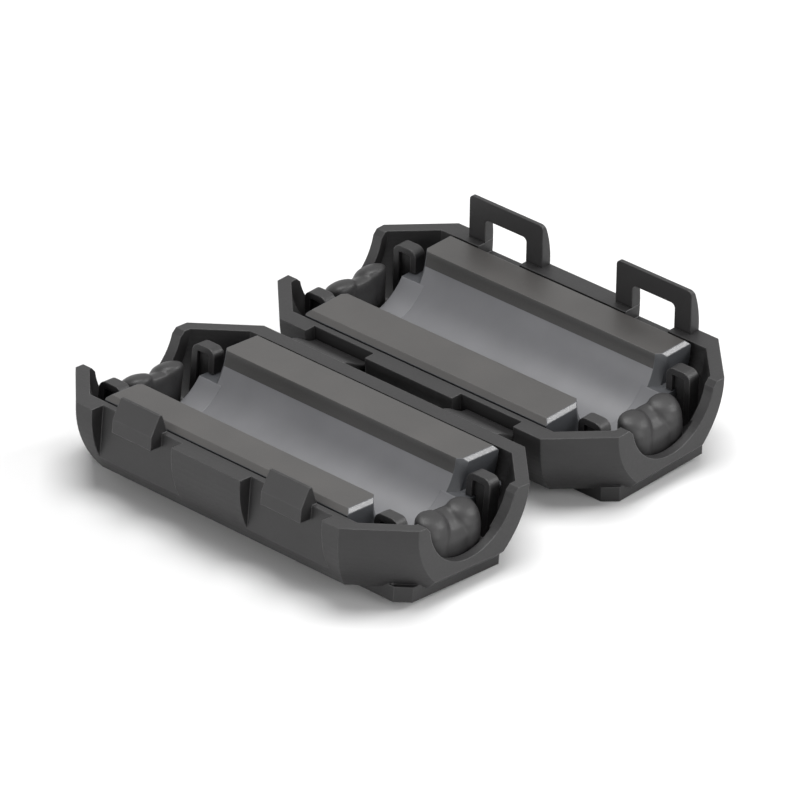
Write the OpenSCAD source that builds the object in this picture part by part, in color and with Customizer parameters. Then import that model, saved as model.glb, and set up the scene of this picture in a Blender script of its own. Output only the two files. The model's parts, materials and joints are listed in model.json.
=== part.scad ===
// Clip-on ferrite bead, open, lying on its back.
//
// Two half shells hang on two living-hinge straps. Each holds half of a ferrite
// sleeve. The latch half has two loops that snap over two hooks on the catch half.
//
// Each half is drawn in its own frame: X along the cable, Y from the hinge wall (-)
// to the free wall (+), Z = 0 on the mating plane and the back below it. The two are
// then set side by side on the hinge axis, which runs along X in the mating plane.

/* [Case] */
// Length of the case along the cable
case_l = 34.6; // [30:0.2:60]
// Width of each half shell, from hinge wall to free wall
half_w = 20.6; // [20:0.2:36]
// Depth of each half shell, from the mating plane to its back
half_h = 6.15; // [5.9:0.05:8]
// Radius of the side walls below the rim
side_r = 8.0; // [7.4:0.2:10]
// Height of the upright part of the side walls, from the mating plane
upright_h = 0.5; // [0:0.1:1.5]
// How far the rims lie below the mating plane
rim_drop = 0.4; // [0.1:0.05:0.6]
// Thickness of the free wall
side_t = 1.75; // [1.5:0.05:2.2]
// Thickness of the hinge wall
hinge_t = 1.5; // [1.4:0.05:2]
// Thickness of the end walls
end_t = 0.9; // [0.8:0.1:1.6]
// Thickness of the back
back_t = 0.8; // [0.7:0.1:1.2]
// Length of each corner bevel along the cable
corner_l = 4.1; // [3:0.1:5]
// Width of each corner bevel across the cable
corner_w = 4.2; // [3:0.1:4.5]
// Thickness of the wall at the corner bevels
corner_t = 1.05; // [0.9:0.05:1.6]
// Length of the bevel between the back and each end
heel_l = 0.8; // [0.4:0.1:1.2]
// Height of the bevel between the back and each end
heel_h = 0.85; // [0.4:0.05:1.1]
// Thickness of the wall at that bevel
heel_t = 0.8; // [0.6:0.1:0.9]

/* [Back pad] */
// Width of the raised pad on each back
pad_w = 11.6; // [8:0.2:13]
// Thickness of the pad
pad_t = 0.85; // [0.6:0.05:1.2]
// Distance from the pad's ends to the ends of the case
pad_end = 1.0; // [0.9:0.1:2]
// Bevel at the pad's four corners
pad_corner = 1.0; // [0.4:0.1:1.4]

/* [Cable openings] */
// Distance of the cable's axis from the middle of the half, towards the free wall
bore_off = 0.2; // [0:0.05:0.4]
// Radius of the opening in each end wall
open_r = 4.8; // [4:0.1:5]
// Height of the opening's centre above the mating plane
open_rise = 0.25; // [0.1:0.05:0.6]
// Bevel where the opening meets the rim
open_bevel = 0.4; // [0.2:0.1:0.6]

/* [Ferrite] */
// Radius of the trough that the cable lies in
bore_r = 4.55; // [3.5:0.05:4.7]
// Distance from each end of the case to the rails of the ferrite
rail_end = 5.1; // [5:0.1:8]
// Length of the low ledge at each end of the ferrite
ledge_l = 1.2; // [1:0.1:1.6]
// Depth of the ledge below the mating plane
ledge_z = 2.6; // [2:0.1:3.4]
// Bevel along the outer top edges of the ferrite
core_bevel = 0.4; // [0.2:0.1:0.8]
// Bevel at the ends of the rails
rail_bevel = 0.3; // [0.2:0.05:0.8]
// How much wider the trough gets at its flared ends
flare_r = 0.7; // [0.3:0.1:1]
// Length of each flare
flare_l = 0.6; // [0.3:0.1:1]
// Room between the ferrite and the walls beside it
core_gap = 0.3; // [0.1:0.05:0.4]
// How far the ferrite's faces lie below the mating plane
face_gap = 0.05; // [0.02:0.01:0.1]

/* [Claws and cable grips] */
// Thickness of the claws that hold the ferrite
claw_t = 0.55; // [0.5:0.05:0.6]
// Width of each claw
claw_w = 1.1; // [0.9:0.1:1.5]
// Length of a claw's arch, over its leg and its tip
claw_span = 2.3; // [2:0.05:2.4]
// Outer radius of the claws' bends
claw_r = 0.7; // [0.65:0.05:0.9]
// Depth of the claws' crests below the mating plane
claw_drop = 0.6; // [0.5:0.05:1]
// Room between a claw and the ferrite
claw_gap = 0.05; // [0.02:0.01:0.2]
// Distance from the end of the ferrite to the claws' legs
claw_room = 1.1; // [0.4:0.1:1.2]
// Radius of each rounded cable grip, seen from above
grip_r = 1.3; // [1.2:0.05:1.5]
// Distance between the two grips of an end
grip_split = 0.8; // [0.3:0.05:0.9]
// Depth of the web between the grips below their crests
grip_web = 0.25; // [0.2:0.05:0.8]
// Radius of the grips' rounded shoulders
grip_shoulder = 1.0; // [0.75:0.05:1.1]
// Thickness of the cable grips
grip_t = 0.6; // [0.5:0.05:0.7]
// Depth of the grips' crests below the mating plane
grip_drop = 1.2; // [0.8:0.05:1.3]
// Distance from each end of the case to the centres of the grips
grip_end = 2.1; // [2:0.05:2.4]

/* [Latch] */
// Distance between the centres of the two latches
latch_pitch = 15.0; // [12:0.2:16]
// Width of each loop
loop_w = 7.5; // [6:0.1:8]
// Height of the loops above the mating plane
loop_h = 3.3; // [2.8:0.1:3.8]
// Thickness of the loops at the rim
loop_t = 1.0; // [0.6:0.05:1]
// Thickness of the loops at the top
loop_tip_t = 0.3; // [0.2:0.05:0.5]
// Radius of the loops' outer corners
loop_corner = 0.4; // [0.2:0.1:0.6]
// Width of the window in each loop
window_w = 4.25; // [3:0.05:5]
// Height of the window above the mating plane
window_h = 1.65; // [1.6:0.05:1.9]
// Radius of the window's corners
window_corner = 0.4; // [0.2:0.1:0.6]
// Height of the hooks above the mating plane
hook_h = 1.15; // [0.9:0.05:1.6]
// Thickness of the hooks' crests
hook_crest = 0.25; // [0.2:0.05:0.6]
// Distance from the hooks' crests to the free wall's face
hook_lean = 0.8; // [0.5:0.05:1]
// Depth of the hooks' catch faces below the mating plane
catch_z = 1.5; // [0.8:0.05:1.5]
// How far the hooks stay inside the free wall's face
hook_inset = 0.05; // [0.05:0.05:0.3]
// Room above the hooks' crests in the slots of the latch half
slot_gap = 0.3; // [0.1:0.05:0.5]
// Room beside each loop in its pocket
pocket_gap = 0.3; // [0.2:0.05:0.8]
// Room between a hook and the sides of its window
hook_gap = 0.15; // [0.1:0.05:0.4]
// Room behind each loop in its pocket
seat_gap = 0.2; // [0.05:0.05:0.3]

/* [Hinge] */
// Angle between the two mating planes as the bead lies open
open_angle = 174.4; // [170:0.2:180]
// Gap between the two hinge walls when open
hinge_gap = 1.7; // [1.4:0.1:3]
// Width of the solid middle part of the hinge wall
hinge_block = 8.8; // [6:0.2:10]
// Width of each hinge recess
recess_w = 6.1; // [4:0.1:7]
// Depth of the hinge recesses in the latch half's wall
recess_d = 1.0; // [0.6:0.05:1.05]
// Height of the hinge recesses, from the mating plane
recess_h = 2.4; // [2.2:0.1:3]
// Room between a strap and the inner side of its recess
strap_in = 0.6; // [0.1:0.05:0.8]
// Room between a strap and the outer side of its recess
strap_out = 0.1; // [0.05:0.05:0.4]
// Thickness of the straps where they join the walls
strap_t = 0.5; // [0.4:0.05:0.7]
// Thickness of the straps at their middle
strap_mid_t = 0.3; // [0.2:0.05:0.4]
// Depth of the straps' tops at the latch half's wall
strap_z = 1.5; // [0.8:0.05:1.6]

/* [Hidden] */
$fn = 96;

EPS = 0.5;
CASE_GREY = [0.27, 0.27, 0.275];
FERRITE_GREY = [0.56, 0.56, 0.58];

tilt = (180 - open_angle) / 2;
half_y = (hinge_gap + half_w) / 2;
end_x = case_l / 2;
free_y = half_w / 2;
inner_y = free_y - side_t;
hinge_y = free_y - hinge_t;
back_z = -half_h;
floor_z = back_z + back_t;
well_z = floor_z - pad_t;
well_y = pad_w / 2 - back_t;
corner_y = ((end_x - corner_l) * corner_w + free_y * corner_l) / norm([corner_l, corner_w]);
rest_z = (half_h + pad_t) * cos(tilt) - (half_y + bore_off - pad_w / 2) * sin(tilt);

rail_x = end_x - rail_end;
ledge_x = rail_x + ledge_l;
claw_x = ledge_x + claw_room + claw_t;
grip_x = end_x - grip_end;
grip_y = grip_r + grip_split / 2;

pocket_w = loop_w + 2 * pocket_gap;
pocket_d = loop_t + seat_gap;
hook_w = window_w - 2 * hook_gap;
slot_z = -(hook_h + slot_gap);
recess_x = (hinge_block + recess_w) / 2;
strap_w = recess_w - strap_in - strap_out;
strap_x = (hinge_block + recess_w + strap_in - strap_out) / 2;

// A bevel has two legs. This is the first of them after the two faces that it
// joins move in by t_first and t_second, and the bevel itself by t_bevel.
function inner_leg(first, second, t_first, t_second, t_bevel) =
    first - t_first + (norm([first, second]) * t_bevel - first * t_second) / second;

// Rotation of a point [y, z] about the hinge axis
function swing(p, angle) =
    [p.x * cos(angle) - p.y * sin(angle), p.x * sin(angle) + p.y * cos(angle)];

// ---------------------------------------------------------------- shapes of a half

// Cross-section from one wall to the one across: upright at the rim, then round
// down to a flat back. The walls stand at -w and +w before they move in by low_inset
// and high_inset.
module section(w, low_inset, high_inset, z_low, z_high) {
    difference() {
        translate([-w + low_inset, z_low])
            square([2 * w - low_inset - high_inset, z_high - z_low]);
        for (side = [-1, 1]) {
            translate([side * (w - side_r), -upright_h]) difference() {
                translate([side > 0 ? 0 : -2 * side_r, -2 * side_r])
                    square([2 * side_r, 2 * side_r]);
                circle(r = side_r - (side > 0 ? high_inset : low_inset));
            }
        }
    }
}

// Rectangle with its four corners bevelled
module bevelled(x, y, leg_x, leg_y) {
    polygon([
        [-x, -y + leg_y], [-x + leg_x, -y], [x - leg_x, -y], [x, -y + leg_y],
        [x, y - leg_y], [x - leg_x, y], [-x + leg_x, y], [-x, y - leg_y]
    ]);
}

module along_cable(length) {
    rotate([90, 0, 90]) linear_extrude(length, center = true) children();
}

module across_cable(width) {
    rotate([90, 0, 0]) linear_extrude(width, center = true) children();
}

// The body that a half is cut from, or its cavity with the walls' thicknesses as
// insets. The curve of the side walls goes on round the corner bevels.
module form(hinge, side, end, back, corner, heel, z_high) {
    x = end_x - end;
    z_low = back_z + back;
    toe_l = inner_leg(heel_l, heel_h, end, back, heel);
    toe_h = inner_leg(heel_h, heel_l, back, end, heel);
    turn = atan2(corner_w, corner_l);
    intersection() {
        along_cable(2 * case_l) section(free_y, hinge, side, z_low, z_high);
        rotate([0, 0, turn]) along_cable(2 * case_l)
            section(corner_y, corner, corner, z_low - EPS, z_high + EPS);
        rotate([0, 0, -turn]) along_cable(2 * case_l)
            section(corner_y, corner, corner, z_low - EPS, z_high + EPS);
        across_cable(2 * half_w) polygon([
            [-x, z_high + EPS], [-x, z_low + toe_h], [-x + toe_l, z_low],
            [x - toe_l, z_low], [x, z_low + toe_h], [x, z_high + EPS]
        ]);
    }
}

module outer_form() {
    form(0, 0, 0, 0, 0, 0, -rim_drop);
}

module cavity() {
    form(hinge_t, side_t, end_t, back_t, corner_t, heel_t, EPS);
    at_bore() well(core_gap);
}

module at_bore() {
    translate([0, bore_off, 0]) children();
}

// The pad on the back makes room for the belly of the ferrite
module back_pad() {
    translate([0, 0, back_z - pad_t]) linear_extrude(pad_t + back_t / 2)
        bevelled(end_x - pad_end, pad_w / 2, pad_corner, pad_corner);
}

module well(room) {
    translate([0, 0, well_z]) linear_extrude(pad_t + EPS)
        bevelled(ledge_x + room, well_y - core_gap + room, pad_corner, pad_corner);
}

// Cable opening of an end wall, with its edges bevelled at the rim
module opening() {
    meet_z = -rim_drop - open_bevel;
    meet_y = sqrt(open_r * open_r - (open_rise - meet_z) * (open_rise - meet_z));
    low_y = meet_y - EPS;
    top_y = meet_y + open_bevel + EPS;
    translate([0, open_rise]) circle(r = open_r);
    polygon([
        [-low_y, meet_z - EPS], [low_y, meet_z - EPS],
        [top_y, EPS - rim_drop], [-top_y, EPS - rim_drop]
    ]);
}

// Upright plate with its foot at 0 and its top corners rounded
module round_top(w, h, r) {
    translate([-w / 2, 0]) square([w, h - r]);
    translate([-w / 2 + r, 0]) square([w - 2 * r, h]);
    for (side = [-1, 1]) translate([side * (w / 2 - r), h - r]) circle(r = r, $fn = 48);
}

// Leaf that stands on the floor and hooks over the ledge of the ferrite
module claw() {
    foot_z = floor_z - back_t / 2;
    height = -claw_drop - foot_z;
    tip_h = -ledge_z + claw_gap - foot_z;
    translate([claw_x - claw_span / 2, 0, foot_z]) across_cable(claw_w) difference() {
        round_top(claw_span, height, claw_r);
        translate([0, -EPS])
            round_top(claw_span - 2 * claw_t, height - claw_t + EPS, claw_r - claw_t);
        translate([-claw_span, -EPS]) square([claw_span, tip_h + EPS]);
    }
}

// Half of a grip's profile, from its middle out, with the shoulder rounded
module grip_profile(r, shoulder, z_low, z_high) {
    translate([0, z_low]) square([r, z_high - shoulder - z_low]);
    translate([0, z_low]) square([r - shoulder, z_high - z_low]);
    translate([r - shoulder, z_high - shoulder]) intersection() {
        circle(r = shoulder, $fn = 32);
        square(shoulder);
    }
}

// Round leaf that bears on the cable: a thin wall on the side of the opening, and a
// cap that reaches back over the ledge of the ferrite
module grip() {
    translate([grip_x, 0, 0]) {
        rotate([0, 0, -90]) rotate_extrude(angle = 180, $fn = 64) difference() {
            grip_profile(grip_r, grip_shoulder, back_z, -grip_drop);
            translate([-EPS, 0]) grip_profile(grip_r - grip_t + EPS, grip_shoulder - grip_t,
                floor_z, -grip_drop - grip_t);
        }
        rotate([0, 0, 90]) rotate_extrude(angle = 180, $fn = 64) intersection() {
            grip_profile(grip_r, grip_shoulder, back_z, -grip_drop);
            translate([0, -grip_drop - grip_t]) square([grip_r, grip_t]);
        }
    }
}

// The two grips of an end and the low web between them
module grips() {
    web_w = grip_split + grip_t;
    for (side = [-1, 1]) translate([0, side * grip_y, 0]) grip();
    translate([grip_x - grip_t, -web_w / 2, back_z])
        cube([2 * grip_t, web_w, half_h - grip_drop - grip_web]);
}

// What both half shells share
module shell_body() {
    difference() {
        outer_form();
        cavity();
        at_bore() along_cable(2 * case_l) opening();
    }
    at_bore() difference() {
        back_pad();
        well(core_gap);
    }
    claw_y = bore_r + claw_w / 2;
    for (end = [0, 1]) mirror([end, 0, 0]) at_bore() {
        for (side = [-1, 1]) translate([0, side * claw_y, 0]) claw();
        intersection() {
            grips();
            outer_form();
        }
    }
}

// Half of the ferrite sleeve: two rails beside a trough, on a longer base whose
// belly lies in the well of the back pad
module core() {
    x_bevel = rail_x - rail_bevel;
    top = -face_gap;
    difference() {
        union() {
            intersection() {
                form(hinge_t + core_gap, side_t + core_gap, end_t + core_gap, back_t,
                    corner_t + core_gap, heel_t + core_gap, top);
                cube([2 * ledge_x, half_w, 2 * half_h], center = true);
            }
            at_bore() well(0);
        }
        for (y = [core_gap - hinge_y, inner_y - core_gap])
            translate([0, y, top]) rotate([45, 0, 0])
                cube([case_l, core_bevel * sqrt(2), core_bevel * sqrt(2)], center = true);
        at_bore() rotate([0, 90, 0]) cylinder(r = bore_r, h = case_l, center = true);
        for (end = [0, 1]) mirror([end, 0, 0]) {
            across_cable(2 * half_w) polygon([
                [rail_x, -ledge_z], [ledge_x + EPS, -ledge_z], [ledge_x + EPS, EPS],
                [x_bevel - EPS, top + EPS], [x_bevel, top], [rail_x, top - rail_bevel]
            ]);
            at_bore() translate([rail_x - flare_l, 0, 0]) rotate([0, 90, 0])
                cylinder(r1 = bore_r, r2 = bore_r + flare_r, h = flare_l);
            at_bore() translate([rail_x, 0, 0]) rotate([0, 90, 0])
                cylinder(r = bore_r + flare_r, h = ledge_l + EPS);
        }
    }
}

// ---------------------------------------------------------------- latch and hinge

module hook() {
    lip_y = free_y - hook_inset;
    crest_y = free_y - hook_lean;
    along_cable(hook_w) polygon([
        [inner_y, -catch_z], [inner_y, -rim_drop], [crest_y - hook_crest, hook_h],
        [crest_y, hook_h], [lip_y, -rim_drop], [lip_y, -catch_z]
    ]);
}

module loop() {
    bow = loop_t - loop_tip_t;
    bow_r = (loop_h * loop_h + bow * bow) / (2 * bow);
    intersection() {
        along_cable(loop_w) intersection() {
            translate([free_y - loop_t, -rim_drop]) square([loop_t, loop_h + rim_drop]);
            translate([free_y - bow_r, 0]) circle(r = bow_r, $fn = 180);
        }
        translate([0, free_y, -rim_drop]) across_cable(half_w) difference() {
            round_top(loop_w, loop_h + rim_drop, loop_corner);
            translate([0, -EPS]) round_top(window_w, window_h + rim_drop + EPS, window_corner);
        }
    }
}

// Strap from the catch half's rim to the foot of the recess in the latch half
module strap() {
    steps = 12;
    from = swing([-hinge_gap / 2, -rim_drop - strap_t / 2], -tilt);
    to = swing([hinge_gap / 2 + recess_d, -strap_z - strap_t / 2], tilt);
    path = [for (i = [0:steps]) let (u = i / steps, s = u * u * (3 - 2 * u))
        [from.x + (to.x - from.x) * u, from.y + (to.y - from.y) * s]];
    half_t = [for (i = [0:steps]) let (u = i / steps)
        (strap_mid_t + (strap_t - strap_mid_t) * pow(2 * u - 1, 2)) / 2];
    up = [for (i = [0:steps]) i == 0 ? swing([0, 1], -tilt) : i == steps ? swing([0, 1], tilt)
        : let (d = path[i + 1] - path[i - 1]) [-d.y, d.x] / norm(d)];
    along_cable(strap_w) polygon(concat(
        [for (i = [0:steps]) path[i] + up[i] * half_t[i]],
        [for (i = [steps:-1:0]) path[i] - up[i] * half_t[i]]
    ));
}

// ---------------------------------------------------------------- placing

module latch_half() {
    translate([0, 0, rest_z]) rotate([tilt, 0, 0]) translate([0, half_y, 0]) children();
}

module catch_half() {
    mirror([0, 1, 0]) latch_half() children();
}

module at_latches() {
    for (side = [-1, 1]) translate([side * latch_pitch / 2, 0, 0]) children();
}

// ---------------------------------------------------------------- sub-parts

module catch_shell() {
    color(CASE_GREY) catch_half() {
        difference() {
            shell_body();
            at_latches() translate([-pocket_w / 2, free_y - pocket_d, back_z])
                cube([pocket_w, half_w, half_h]);
        }
        at_latches() hook();
    }
}

module latch_shell() {
    color(CASE_GREY) latch_half() difference() {
        shell_body();
        at_latches() translate([-window_w / 2, free_y - side_t - core_gap, slot_z])
            cube([window_w, half_w, half_h]);
        for (side = [-1, 1])
            translate([side * recess_x - recess_w / 2, -free_y - half_w + recess_d, -recess_h])
                cube([recess_w, half_w, half_h]);
    }
}

module hinge_straps() {
    color(CASE_GREY) translate([0, 0, rest_z])
        for (side = [-1, 1]) translate([side * strap_x, 0, 0]) strap();
}

module latch_loops() {
    color(CASE_GREY) latch_half() at_latches() loop();
}

module catch_core() {
    color(FERRITE_GREY) catch_half() core();
}

module latch_core() {
    color(FERRITE_GREY) latch_half() core();
}

catch_shell();
latch_shell();
hinge_straps();
latch_loops();
catch_core();
latch_core();
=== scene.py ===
import json
import math

import bmesh
import bpy
from mathutils import Matrix, Vector


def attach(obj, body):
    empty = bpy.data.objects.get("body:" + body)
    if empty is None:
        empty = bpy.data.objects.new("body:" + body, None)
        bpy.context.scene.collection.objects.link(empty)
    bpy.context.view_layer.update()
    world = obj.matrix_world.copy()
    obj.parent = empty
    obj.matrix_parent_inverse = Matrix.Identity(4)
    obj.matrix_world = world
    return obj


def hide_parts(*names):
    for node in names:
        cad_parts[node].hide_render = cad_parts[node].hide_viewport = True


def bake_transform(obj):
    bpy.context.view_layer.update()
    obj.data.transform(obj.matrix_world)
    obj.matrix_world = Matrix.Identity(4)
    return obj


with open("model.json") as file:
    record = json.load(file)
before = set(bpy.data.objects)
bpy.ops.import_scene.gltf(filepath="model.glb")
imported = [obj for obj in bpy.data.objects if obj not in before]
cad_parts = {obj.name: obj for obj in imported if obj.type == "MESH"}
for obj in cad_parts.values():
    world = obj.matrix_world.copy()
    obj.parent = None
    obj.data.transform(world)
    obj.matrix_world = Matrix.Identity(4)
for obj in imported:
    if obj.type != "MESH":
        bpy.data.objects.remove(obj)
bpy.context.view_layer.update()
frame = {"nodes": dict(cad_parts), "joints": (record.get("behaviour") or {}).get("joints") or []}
scene = bpy.context.scene

# ---------------------------------------------------------------- camera
# The bead lies open on its two backs. It is seen from above its near corner, with a
# camera held a little askew and a lens so long that both halves show nearly the same size.
HINGE_HEIGHT = frame["joints"][0]["pos_m"][2]
VIEW_AZIMUTH = math.radians(40.537)
VIEW_ELEVATION = math.radians(28.220)
VIEW_ROLL = math.radians(2.972)
VIEW_DISTANCE = 0.56365
VIEW_ASIDE = -0.000054
VIEW_ABOVE = -0.001688
LENS_MM = 337.5
# The nearest and the furthest that the camera sees
SEEN_FROM = 0.01
SEEN_TO = 20

view_back = Vector((
    math.sin(VIEW_AZIMUTH) * math.cos(VIEW_ELEVATION),
    -math.cos(VIEW_AZIMUTH) * math.cos(VIEW_ELEVATION),
    math.sin(VIEW_ELEVATION),
))
level_right = Vector((math.cos(VIEW_AZIMUTH), math.sin(VIEW_AZIMUTH), 0))
level_up = view_back.cross(level_right)
view_right = level_right * math.cos(VIEW_ROLL) + level_up * math.sin(VIEW_ROLL)
view_up = level_up * math.cos(VIEW_ROLL) - level_right * math.sin(VIEW_ROLL)
camera_data = bpy.data.cameras.new("camera")
camera_data.lens = LENS_MM
camera_data.clip_start = SEEN_FROM
camera_data.clip_end = SEEN_TO
camera = bpy.data.objects.new("camera", camera_data)
scene.collection.objects.link(camera)
camera.location = (Vector((0, 0, HINGE_HEIGHT)) + view_back * VIEW_DISTANCE
                   + view_right * VIEW_ASIDE + view_up * VIEW_ABOVE)
camera.rotation_euler = Matrix((view_right, view_up, view_back)).transposed().to_euler()
scene.camera = camera

# ---------------------------------------------------------------- table and light
# A plain white table, broad enough to fill the picture, takes the soft shadow under the
# bead. It glows a little, but only where it is seen, so that it shows as white and sheds
# no more light on the bead.
TABLE_HALF = 0.6
TABLE_COLOUR = (0.8, 0.8, 0.8, 1)
TABLE_GLOW = 0.02

scene.view_settings.view_transform = "Standard"


def white_when_seen(nodes, links):
    """1 for what the camera sees, directly or in a gloss or through glass."""
    path = nodes.new("ShaderNodeLightPath")
    either = nodes.new("ShaderNodeMath")
    either.operation = "MAXIMUM"
    links.new(path.outputs["Is Camera Ray"], either.inputs[0])
    links.new(path.outputs["Is Glossy Ray"], either.inputs[1])
    seen = nodes.new("ShaderNodeMath")
    seen.operation = "MAXIMUM"
    links.new(either.outputs[0], seen.inputs[0])
    links.new(path.outputs["Is Transmission Ray"], seen.inputs[1])
    return seen.outputs[0]


table_mesh = bpy.data.meshes.new("table")
table_mesh.from_pydata(
    [(-TABLE_HALF, -TABLE_HALF, 0), (TABLE_HALF, -TABLE_HALF, 0),
     (TABLE_HALF, TABLE_HALF, 0), (-TABLE_HALF, TABLE_HALF, 0)],
    [], [(0, 1, 2, 3)],
)
table = bpy.data.objects.new("table", table_mesh)
scene.collection.objects.link(table)
table_white = bpy.data.materials.new("table_white")
table_white.use_nodes = True
nodes, links = table_white.node_tree.nodes, table_white.node_tree.links
nodes.clear()
paint = nodes.new("ShaderNodeBsdfDiffuse")
paint.inputs["Color"].default_value = TABLE_COLOUR
glow = nodes.new("ShaderNodeEmission")
lift = nodes.new("ShaderNodeMath")
lift.operation = "MULTIPLY"
lift.inputs[1].default_value = TABLE_GLOW
links.new(white_when_seen(nodes, links), lift.inputs[0])
links.new(lift.outputs[0], glow.inputs["Strength"])
both = nodes.new("ShaderNodeAddShader")
links.new(paint.outputs[0], both.inputs[0])
links.new(glow.outputs[0], both.inputs[1])
links.new(both.outputs[0], nodes.new("ShaderNodeOutputMaterial").inputs["Surface"])
table_mesh.materials.append(table_white)

# The room sheds an even grey light. Where it shows past the table's edge, it is paler.
ROOM_COLOUR = (0.8, 0.8, 0.8, 1)
ROOM_LIGHT = 0.34

world = bpy.data.worlds.new("room")
world.use_nodes = True
scene.world = world
nodes, links = world.node_tree.nodes, world.node_tree.links
nodes.clear()
room = nodes.new("ShaderNodeBackground")
room.inputs["Color"].default_value = ROOM_COLOUR
room.inputs["Strength"].default_value = ROOM_LIGHT
backdrop = nodes.new("ShaderNodeBackground")
backdrop.inputs["Color"].default_value = ROOM_COLOUR
choose = nodes.new("ShaderNodeMixShader")
links.new(white_when_seen(nodes, links), choose.inputs["Fac"])
links.new(room.outputs[0], choose.inputs[1])
links.new(backdrop.outputs[0], choose.inputs[2])
links.new(choose.outputs[0], nodes.new("ShaderNodeOutputWorld").inputs["Surface"])


def soft_lamp(name, place, width, watts):
    """A square lamp that faces the middle of the bead."""
    data = bpy.data.lights.new(name, "AREA")
    data.size = width
    data.energy = watts
    lamp = bpy.data.objects.new(name, data)
    scene.collection.objects.link(lamp)
    lamp.location = place
    lamp.rotation_euler = Vector(place).to_track_quat("Z", "Y").to_euler()


# A broad lamp hangs overhead, and a small one stands behind to the right and catches the
# ends of the ferrite. Two low ones, in front to the left and at the right, light the
# outer walls.
soft_lamp("lamp_over", place=(-0.02, 0.02, 0.55), width=0.36, watts=2.9)
soft_lamp("lamp_behind", place=(0.24, 0.335, 0.29), width=0.16, watts=0.9)
soft_lamp("lamp_left", place=(-0.1, -0.6, 0.11), width=0.22, watts=1.7)
soft_lamp("lamp_right", place=(0.62, 0.05, 0.2), width=0.4, watts=1.7)

# ---------------------------------------------------------------- case
# Two half shells of dark grey nylon with two thin straps between them, moulded in one
# shot. The mould's fine spark-eroded grain leaves the faces satin. The rims and corners
# are painted lighter in patches, a painted highlight, and are a little smoother there.
CASE_DARK = (0.0130, 0.0126, 0.0129, 1)
CASE_LIGHT = (0.0220, 0.0214, 0.0219, 1)
# Colour of the painted highlight on rims and corners
CASE_EDGE_HIGHLIGHT = (0.085, 0.084, 0.085, 1)
# Roughness of the grain's smoothest and roughest spots, and of the edges with painted highlight
NYLON_SMOOTH = 0.40
NYLON_ROUGH = 0.56
EDGE_HIGHLIGHT_ROUGHNESS = 0.3
NYLON_IOR = 1.46
# Sizes of the clouds in its colour, of the mould's sparks and of the rounding of its edges
NYLON_CLOUD = 0.0035
NYLON_SPARK = 0.00022
NYLON_EDGE = 0.00014
NYLON_SPARK_DEPTH = 0.00002
NYLON_SPARK_STRENGTH = 0.25
EDGE_SAMPLES = 6
# An edge starts to get its painted highlight where it turns from its face by the angle of
# the first cosine, and has all of it at the second
EDGE_HIGHLIGHT_STARTS = 0.995
EDGE_HIGHLIGHT_FULL = 0.90
# Size of the patches in which the edges get their painted highlight
EDGE_HIGHLIGHT_PATCH = 0.0009


def grain(nodes, links, size, detail):
    """Noise whose spots are about size metres across."""
    place = nodes.new("ShaderNodeTexCoord")
    noise = nodes.new("ShaderNodeTexNoise")
    noise.inputs["Scale"].default_value = 1 / size
    noise.inputs["Detail"].default_value = detail
    links.new(place.outputs["Object"], noise.inputs["Vector"])
    return noise.outputs["Fac"]


def colour_between(nodes, links, factor, low, high):
    """The colour that factor picks between low at 0 and high at 1."""
    mix = nodes.new("ShaderNodeMix")
    mix.data_type = "RGBA"
    mix.inputs["A"].default_value = low
    mix.inputs["B"].default_value = high
    links.new(factor, mix.inputs["Factor"])
    return mix.outputs["Result"]


def number_between(nodes, links, factor, low, high):
    """The number that factor picks between low at 0 and high at 1."""
    span = nodes.new("ShaderNodeMapRange")
    span.inputs["To Min"].default_value = low
    span.inputs["To Max"].default_value = high
    links.new(factor, span.inputs["Value"])
    return span.outputs["Result"]


def softened_edges(nodes, radius):
    """The surface's direction, with its sharp edges rounded to this radius."""
    round_edge = nodes.new("ShaderNodeBevel")
    round_edge.samples = EDGE_SAMPLES
    round_edge.inputs["Radius"].default_value = radius
    return round_edge.outputs[0]


def roughened(nodes, links, direction, height, strength, depth):
    """The surface's direction with a grain laid over it, depth metres deep."""
    bump = nodes.new("ShaderNodeBump")
    bump.inputs["Strength"].default_value = strength
    bump.inputs["Distance"].default_value = depth
    links.new(height, bump.inputs["Height"])
    links.new(direction, bump.inputs["Normal"])
    return bump.outputs[0]


def edges_with_painted_highlight(nodes, links, direction, patches):
    """Where edges get a painted highlight: 1 on edges, more so in the patches, and 0 on flat faces."""
    face = nodes.new("ShaderNodeNewGeometry")
    along = nodes.new("ShaderNodeVectorMath")
    along.operation = "DOT_PRODUCT"
    links.new(direction, along.inputs[0])
    links.new(face.outputs["Normal"], along.inputs[1])
    turned_away = nodes.new("ShaderNodeMapRange")
    turned_away.inputs["From Min"].default_value = EDGE_HIGHLIGHT_STARTS
    turned_away.inputs["From Max"].default_value = EDGE_HIGHLIGHT_FULL
    links.new(along.outputs["Value"], turned_away.inputs["Value"])
    highlit_patches = nodes.new("ShaderNodeMath")
    highlit_patches.operation = "MULTIPLY"
    links.new(turned_away.outputs["Result"], highlit_patches.inputs[0])
    links.new(patches, highlit_patches.inputs[1])
    return highlit_patches.outputs[0]


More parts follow.
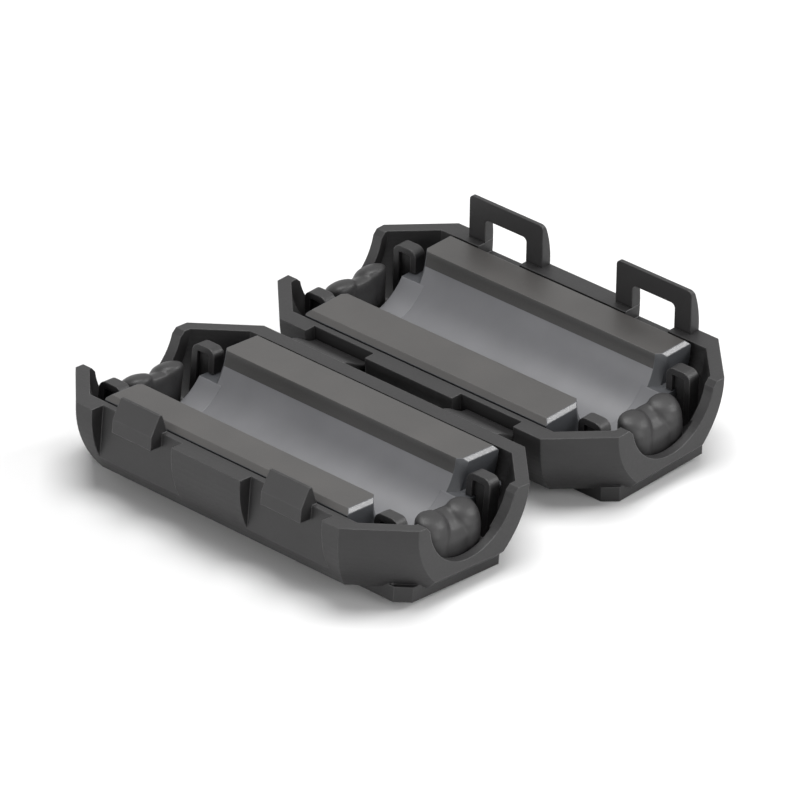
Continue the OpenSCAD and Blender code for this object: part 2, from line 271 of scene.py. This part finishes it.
def nylon():
    """Grained dark grey nylon, with a painted highlight on its rims and corners."""
    material = bpy.data.materials.new("nylon")
    material.use_nodes = True
    nodes, links = material.node_tree.nodes, material.node_tree.links
    skin = nodes["Principled BSDF"]
    skin.inputs["IOR"].default_value = NYLON_IOR
    clouds = grain(nodes, links, NYLON_CLOUD, detail=4)
    spark = grain(nodes, links, NYLON_SPARK, detail=3)
    direction = softened_edges(nodes, NYLON_EDGE)
    edge_highlight = edges_with_painted_highlight(nodes, links, direction, grain(nodes, links, EDGE_HIGHLIGHT_PATCH, detail=4))
    # Rims and corners are mixed towards a lighter colour, a painted highlight
    highlit = nodes.new("ShaderNodeMix")
    highlit.data_type = "RGBA"
    highlit.inputs["B"].default_value = CASE_EDGE_HIGHLIGHT
    links.new(colour_between(nodes, links, clouds, CASE_DARK, CASE_LIGHT), highlit.inputs["A"])
    links.new(edge_highlight, highlit.inputs["Factor"])
    links.new(highlit.outputs["Result"], skin.inputs["Base Color"])
    satin = nodes.new("ShaderNodeMix")
    satin.inputs["B"].default_value = EDGE_HIGHLIGHT_ROUGHNESS
    links.new(number_between(nodes, links, spark, NYLON_SMOOTH, NYLON_ROUGH), satin.inputs["A"])
    links.new(edge_highlight, satin.inputs["Factor"])
    links.new(satin.outputs["Result"], skin.inputs["Roughness"])
    links.new(roughened(nodes, links, direction, spark, NYLON_SPARK_STRENGTH, NYLON_SPARK_DEPTH),
              skin.inputs["Normal"])
    return material


case_nylon = nylon()
for name in ("catch_shell", "latch_shell", "latch_loops", "hinge_straps"):
    part = frame["nodes"][name]
    part.data.materials.clear()
    part.data.materials.append(case_nylon)

# ---------------------------------------------------------------- cable grips
# Inside each end stand two round springy leaves, moulded with the shell and joined by a
# saddle. Their crests lie on the ferrite's side and they slope out to the opening. Each
# shell is shown with these smooth grips in place of its plain ones.
REST_TILT = math.radians(2.8)
# How far a half's middle lies from the hinge line, its bore from that middle, and each
# grip from the bore's axis
HALF_MIDDLE = 0.01115
BORE_ASIDE = 0.0002
GRIP_ASIDE = 0.0017
GRIP_POINTS = 40
GRIP_VOXEL = 0.00008
GRIP_SMOOTHING = 0.5
GRIP_SMOOTHINGS = 24
SAME_POINT = 0.000001
# Opposite corners of the room that the plain grips of one end take up
GRIP_SPACE_LOW = (0.01372, -0.0032, -0.00534)
GRIP_SPACE_HIGH = (0.01654, 0.0032, -0.0006)
# Rings of one grip and of the saddle, from foot to crest: middle along x, height, half
# length, half width
GRIP_RINGS = [
    (0.01510, -0.00545, 0.00125, 0.00145),
    (0.01510, -0.00330, 0.00125, 0.00145),
    (0.01500, -0.00260, 0.00122, 0.00145),
    (0.01485, -0.00210, 0.00110, 0.00140),
    (0.01465, -0.00172, 0.00088, 0.00125),
    (0.01448, -0.00148, 0.00058, 0.00095),
    (0.01438, -0.00138, 0.00030, 0.00055),
]
SADDLE_RINGS = [
    (0.01500, -0.00545, 0.00130, 0.00300),
    (0.01500, -0.00340, 0.00130, 0.00300),
    (0.01485, -0.00270, 0.00110, 0.00270),
    (0.01460, -0.00220, 0.00085, 0.00230),
    (0.01438, -0.00188, 0.00055, 0.00190),
    (0.01425, -0.00170, 0.00030, 0.00150),
]


def place_of_half(side):
    """From a half's own frame, with its mating plane at 0, to the open bead."""
    half = (Matrix.Translation((0, 0, HINGE_HEIGHT)) @ Matrix.Rotation(REST_TILT, 4, "X")
            @ Matrix.Translation((0, HALF_MIDDLE + BORE_ASIDE, 0)))
    return half if side > 0 else Matrix.Scale(-1, 4, (0, 1, 0)) @ half


def add_post(bm, aside, rings):
    """A closed solid through rings, each given as middle, height, half length, half width."""
    loops = []
    for middle, height, long, wide in rings:
        turns = [2 * math.pi * k / GRIP_POINTS for k in range(GRIP_POINTS)]
        loops.append([
            bm.verts.new((middle + long * math.cos(turn), aside + wide * math.sin(turn), height))
            for turn in turns
        ])
    bm.faces.new(loops[0][::-1])
    bm.faces.new(loops[-1])
    for low, high in zip(loops, loops[1:]):
        for k in range(GRIP_POINTS):
            after = (k + 1) % GRIP_POINTS
            bm.faces.new((low[k], low[after], high[after], high[k]))


def evaluated(obj):
    """The mesh of obj with its modifiers applied."""
    bpy.context.view_layer.update()
    shown = obj.evaluated_get(bpy.context.evaluated_depsgraph_get())
    return bpy.data.meshes.new_from_object(shown)


def mesh_object(name, bm):
    """A new object in the scene with the mesh built in bm."""
    mesh = bpy.data.meshes.new(name)
    bm.to_mesh(mesh)
    bm.free()
    obj = bpy.data.objects.new(name, mesh)
    scene.collection.objects.link(obj)
    return obj


bm = bmesh.new()
for aside in (-GRIP_ASIDE, GRIP_ASIDE):
    add_post(bm, aside, GRIP_RINGS)
add_post(bm, 0, SADDLE_RINGS)
grip_form = mesh_object("grip_form", bm)
melt = grip_form.modifiers.new("melt", "REMESH")
melt.mode = "VOXEL"
melt.voxel_size = GRIP_VOXEL
melt.use_smooth_shade = True
relax = grip_form.modifiers.new("relax", "SMOOTH")
relax.factor = GRIP_SMOOTHING
relax.iterations = GRIP_SMOOTHINGS
smooth_grips = evaluated(grip_form)
bpy.data.objects.remove(grip_form)

space_middle = [(low + high) / 2 for low, high in zip(GRIP_SPACE_LOW, GRIP_SPACE_HIGH)]
space_size = [high - low for low, high in zip(GRIP_SPACE_LOW, GRIP_SPACE_HIGH)]

for side, body, shell in ((-1, "catch_half", "catch_shell"), (1, "latch_half", "latch_shell")):
    bm = bmesh.new()
    for end in (-1, 1):
        middle = Matrix.Translation((end * space_middle[0], *space_middle[1:]))
        bmesh.ops.create_cube(bm, size=1, matrix=middle @ Matrix.Diagonal((*space_size, 1)))
    bmesh.ops.transform(bm, matrix=place_of_half(side), verts=bm.verts)
    bmesh.ops.recalc_face_normals(bm, faces=bm.faces)
    room_for_grips = mesh_object("room_for_grips", bm)
    bm = bmesh.new()
    bm.from_mesh(frame["nodes"][shell].data)
    bmesh.ops.remove_doubles(bm, verts=bm.verts, dist=SAME_POINT)
    cut_shell = mesh_object("cut_shell", bm)
    cut = cut_shell.modifiers.new("cut", "BOOLEAN")
    cut.operation = "DIFFERENCE"
    cut.solver = "EXACT"
    cut.object = room_for_grips
    bm = bmesh.new()
    bm.from_mesh(evaluated(cut_shell))
    for face in bm.faces:
        face.smooth = False
    bpy.data.objects.remove(cut_shell)
    bpy.data.objects.remove(room_for_grips)
    for end in (-1, 1):
        old_verts = set(bm.verts)
        old_faces = set(bm.faces)
        bm.from_mesh(smooth_grips)
        grip_verts = [vert for vert in bm.verts if vert not in old_verts]
        grip_faces = [face for face in bm.faces if face not in old_faces]
        if end < 0:
            bmesh.ops.scale(bm, verts=grip_verts, vec=(-1, 1, 1))
        bmesh.ops.transform(bm, matrix=place_of_half(side), verts=grip_verts)
        if end * side < 0:
            bmesh.ops.reverse_faces(bm, faces=grip_faces)
    smooth_shell = mesh_object(f"smooth_{shell}", bm)
    smooth_shell.data.materials.append(case_nylon)
    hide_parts(shell)
    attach(smooth_shell, body)

# ---------------------------------------------------------------- claw ribs that stand in for shade
# Each claw that holds the ferrite is an arch over its ledge, moulded with its shell. Its
# inside shows dark. A thin rib, assumed, closes each arch and keeps its inside in shade,
# standing in for the shade there. How the real claw is closed isn't known.
CLAW_ASIDE = 0.0051
CLAW_SHADE_RIB_HALF = 0.00022
# Outline of the rib of one claw, as x and height
CLAW_SHADE_RIB_SIDE = [
    (0.0132, -0.00245), (0.0132, -0.0010), (0.0147, -0.0010),
    (0.0147, -0.0054), (0.01355, -0.0054), (0.01355, -0.00245),
]

for side, body in ((-1, "catch_half"), (1, "latch_half")):
    bm = bmesh.new()
    for end in (-1, 1):
        for aside in (-CLAW_ASIDE, CLAW_ASIDE):
            near = [bm.verts.new((end * x, aside - CLAW_SHADE_RIB_HALF, z)) for x, z in CLAW_SHADE_RIB_SIDE]
            far = [bm.verts.new((end * x, aside + CLAW_SHADE_RIB_HALF, z)) for x, z in CLAW_SHADE_RIB_SIDE]
            bm.faces.new(near)
            bm.faces.new(far[::-1])
            for k in range(len(near)):
                after = (k + 1) % len(near)
                bm.faces.new((near[k], far[k], far[after], near[after]))
    bmesh.ops.transform(bm, matrix=place_of_half(side), verts=bm.verts)
    bmesh.ops.recalc_face_normals(bm, faces=bm.faces)
    # Ribs that stand in for the shade inside the claws
    shade_ribs = mesh_object(f"{body}_claw_shade_ribs", bm)
    shade_ribs.data.materials.append(case_nylon)
    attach(shade_ribs, body)

# ---------------------------------------------------------------- hinge straps
# Two living hinges, thin webs of the same nylon that run from the catch half's rim to
# the foot of the recess in the latch half. They bend as the real bead is closed. Here they
# are built fixed, in their open shape.
STRAP_INNER_X = 0.005
STRAP_OUTER_X = 0.0104
# Each end, as y and height from the hinge line, before the halves are tilted
STRAP_FROM = (-0.00085, -0.00065)
STRAP_TO = (0.00185, -0.00175)
STRAP_ENDS_THICK = 0.0005
STRAP_MIDDLE_THICK = 0.0003
STRAP_STEPS = 28
# Edges that turn by more than this, in radians, are rounded
STRAP_CORNER_ANGLE = 1.2
STRAP_EDGE = 0.00008
STRAP_EDGE_STEPS = 2
STRAP_EDGE_FORM = 0.6


def turned(y, z, angle):
    """The point y, z turned about the hinge line."""
    return (y * math.cos(angle) - z * math.sin(angle), y * math.sin(angle) + z * math.cos(angle))


strap_from = turned(*STRAP_FROM, -REST_TILT)
strap_to = turned(*STRAP_TO, REST_TILT)
strap_run = strap_to[0] - strap_from[0]
strap_rise = strap_to[1] - strap_from[1]
bm = bmesh.new()
# Each strap is a smooth S in section, thinnest in its middle
for side in (-1, 1):
    inner = side * STRAP_INNER_X
    outer = side * STRAP_OUTER_X
    sections = []
    for step in range(STRAP_STEPS + 1):
        u = step / STRAP_STEPS
        y = strap_from[0] + strap_run * u
        z = HINGE_HEIGHT + strap_from[1] + strap_rise * u * u * (3 - 2 * u)
        slope = math.atan2(strap_rise * 6 * u * (1 - u), strap_run)
        thinning = (STRAP_ENDS_THICK - STRAP_MIDDLE_THICK) * (2 * u - 1) ** 2
        half_thick = (STRAP_MIDDLE_THICK + thinning) / 2
        sections.append([
            bm.verts.new((x, y - up * half_thick * math.sin(slope), z + up * half_thick * math.cos(slope)))
            for x, up in ((inner, -1), (inner, 1), (outer, 1), (outer, -1))
        ])
    bm.faces.new(sections[0])
    bm.faces.new(sections[-1][::-1])
    for near, far in zip(sections, sections[1:]):
        for k in range(len(near)):
            after = (k + 1) % len(near)
            bm.faces.new((near[k], far[k], far[after], near[after]))
bmesh.ops.recalc_face_normals(bm, faces=bm.faces)
corners = [edge for edge in bm.edges if edge.calc_face_angle(0) > STRAP_CORNER_ANGLE]
bmesh.ops.bevel(bm, geom=corners, offset=STRAP_EDGE, segments=STRAP_EDGE_STEPS, affect="EDGES",
                profile=STRAP_EDGE_FORM)
straps = mesh_object("straps", bm)
straps.data.shade_smooth()
straps.data.materials.append(case_nylon)
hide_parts("hinge_straps")
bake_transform(straps)

# ---------------------------------------------------------------- ferrite
# Two half sleeves of sintered ferrite, dropped in between the walls and held by the
# claws. The mating faces are ground flat and look warmer, and their end bevels are painted
# lighter, a painted highlight. A dark band of painted shade runs along the trough's edges.
# The rest keeps its bluish pressed skin.
PRESSED_DARK = (0.034, 0.036, 0.040, 1)
PRESSED_LIGHT = (0.058, 0.061, 0.067, 1)
# Colours of the dark band of painted shade along the trough's edges
SHADE_BAND_DARK = (0.010, 0.0093, 0.0088, 1)
SHADE_BAND_LIGHT = (0.024, 0.0225, 0.0212, 1)
TROUGH_DARK = (0.105, 0.106, 0.113, 1)
TROUGH_LIGHT = (0.175, 0.176, 0.186, 1)
GROUND_DARK = (0.024, 0.0228, 0.0218, 1)
GROUND_LIGHT = (0.054, 0.0505, 0.0475, 1)
FERRITE_IOR = 1.65
FERRITE_CLOUD = 0.0045
FERRITE_CRYSTAL = 0.0001
FERRITE_CRYSTAL_DEPTH = 0.00001
FERRITE_CRYSTAL_STRENGTH = 0.2
FERRITE_EDGE = 0.0001


def ferrite(name, dark, light, smooth, rough):
    """Sintered ferrite, a grey ceramic with a dull metallic shine."""
    material = bpy.data.materials.new(name)
    material.use_nodes = True
    nodes, links = material.node_tree.nodes, material.node_tree.links
    skin = nodes["Principled BSDF"]
    skin.inputs["IOR"].default_value = FERRITE_IOR
    clouds = grain(nodes, links, FERRITE_CLOUD, detail=5)
    crystals = grain(nodes, links, FERRITE_CRYSTAL, detail=3)
    links.new(colour_between(nodes, links, clouds, dark, light), skin.inputs["Base Color"])
    links.new(number_between(nodes, links, crystals, smooth, rough), skin.inputs["Roughness"])
    links.new(roughened(nodes, links, softened_edges(nodes, FERRITE_EDGE), crystals,
                        FERRITE_CRYSTAL_STRENGTH, FERRITE_CRYSTAL_DEPTH), skin.inputs["Normal"])
    return material


pressed = ferrite("pressed_ferrite", PRESSED_DARK, PRESSED_LIGHT, smooth=0.42, rough=0.6)
ground = ferrite("ground_ferrite", GROUND_DARK, GROUND_LIGHT, smooth=0.34, rough=0.48)
trough = ferrite("trough_ferrite", TROUGH_DARK, TROUGH_LIGHT, smooth=0.42, rough=0.6)
# The rail ends' bevels are ground and smoother, and painted lighter than the ground faces, a painted
# highlight
bevel_highlight = ferrite("ground_bevels_painted_highlight", GROUND_DARK, TROUGH_LIGHT, smooth=0.24, rough=0.5)
# The trough's upper edges are darker, a painted shade
shade_band = ferrite("trough_edges_painted_shade", SHADE_BAND_DARK, SHADE_BAND_LIGHT, smooth=0.5, rough=0.7)

# Edges that turn by more than CORE_CORNER are rounded by this much, and joins flatter than
# CORE_FLAT are dissolved
CORE_EDGE = 0.00013
CORE_EDGE_STEPS = 2
CORE_EDGE_FORM = 0.5
CORE_CORNER = math.radians(20)
CORE_FLAT = math.radians(0.5)
BORE_RADIUS = 0.00455
# The ledge at each end, and the fill that brings it back to the trough's radius
LEDGE_X = 0.0134
LEDGE_Z = 0.0026
LIP_START_X = 0.0111
LIP_RADIUS = 0.00526
LIP_INNER_RADIUS = 0.00454
LIP_STEPS = 40
# Heights above which a face is of the mating face, the end bevels or the band of painted
# shade, and how squarely it has to face up or lengthwise to count as doing so, or as not
MATING_FACE_Z = -0.0006
END_BEVEL_Z = -0.001
SHADE_BAND_Z = -0.00115
FACING = 0.6
NOT_FACING = 0.1
# How far outside the bore's radius a face of the core or lip still counts as the trough
CORE_SLACK = 0.0002
LIP_SLACK = 0.0001

core_finishes = [pressed, ground, trough, bevel_highlight, shade_band]
lip_finishes = [pressed, trough]


def core_finish(middle, facing):
    """The finish of a core's face, from its middle and direction in the half's own frame."""
    if middle.z > MATING_FACE_Z and facing.z > FACING and abs(facing.x) < NOT_FACING:
        return ground
    if middle.z > END_BEVEL_Z and facing.z > FACING and abs(facing.x) > FACING:
        return bevel_highlight
    if math.hypot(middle.y, middle.z) < BORE_RADIUS + CORE_SLACK and abs(facing.x) < NOT_FACING:
        return trough if middle.z < SHADE_BAND_Z else shade_band
    return pressed


def lip_arc(radius):
    """Points across the trough from one ledge to the other, as y and z."""
    start = math.asin(LEDGE_Z / radius)
    turns = [start + (math.pi - 2 * start) * k / LIP_STEPS for k in range(LIP_STEPS + 1)]
    return [(radius * math.cos(turn), -radius * math.sin(turn)) for turn in turns]


for name, side, body in (("catch_core", -1, "catch_half"), ("latch_core", 1, "latch_half")):
    into_half = place_of_half(side).inverted()
    bm = bmesh.new()
    bm.from_mesh(frame["nodes"][name].data)
    bmesh.ops.remove_doubles(bm, verts=bm.verts, dist=SAME_POINT)
    bmesh.ops.dissolve_limit(bm, angle_limit=CORE_FLAT, verts=bm.verts, edges=bm.edges)
    corners = [edge for edge in bm.edges if edge.calc_face_angle(0) > CORE_CORNER]
    bmesh.ops.bevel(bm, geom=corners, offset=CORE_EDGE, segments=CORE_EDGE_STEPS,
                    profile=CORE_EDGE_FORM, affect="EDGES", clamp_overlap=True)
    core = mesh_object(f"rounded_{name}", bm)
    for finish in core_finishes:
        core.data.materials.append(finish)
    for face in core.data.polygons:
        finish = core_finish(into_half @ face.center, into_half.to_3x3() @ face.normal)
        face.material_index = core_finishes.index(finish)
    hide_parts(name)
    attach(core, body)

    # The ledge at each end keeps the full trough, and only the rails are flared
    outline = lip_arc(LIP_INNER_RADIUS) + lip_arc(LIP_RADIUS)[::-1]
    count = len(outline)
    bm = bmesh.new()
    for end in (-1, 1):
        near = [bm.verts.new((end * LIP_START_X, y, z)) for y, z in outline]
        far = [bm.verts.new((end * LEDGE_X, y, z)) for y, z in outline]
        for k in range(count):
            after = (k + 1) % count
            bm.faces.new((near[k], near[after], far[after], far[k]))
        for k in range(LIP_STEPS):
            across = count - 1 - k
            bm.faces.new((near[k], near[k + 1], near[across - 1], near[across]))
            bm.faces.new((far[k], far[k + 1], far[across - 1], far[across]))
    bmesh.ops.recalc_face_normals(bm, faces=bm.faces)
    bmesh.ops.transform(bm, matrix=place_of_half(side), verts=bm.verts)
    if side < 0:
        bmesh.ops.reverse_faces(bm, faces=bm.faces)
    lips = mesh_object(f"{name}_lips", bm)
    for finish in lip_finishes:
        lips.data.materials.append(finish)
    for face in lips.data.polygons:
        middle = into_half @ face.center
        inside = math.hypot(middle.y, middle.z) < BORE_RADIUS + LIP_SLACK
        face.material_index = lip_finishes.index(trough if inside else pressed)
    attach(lips, body)
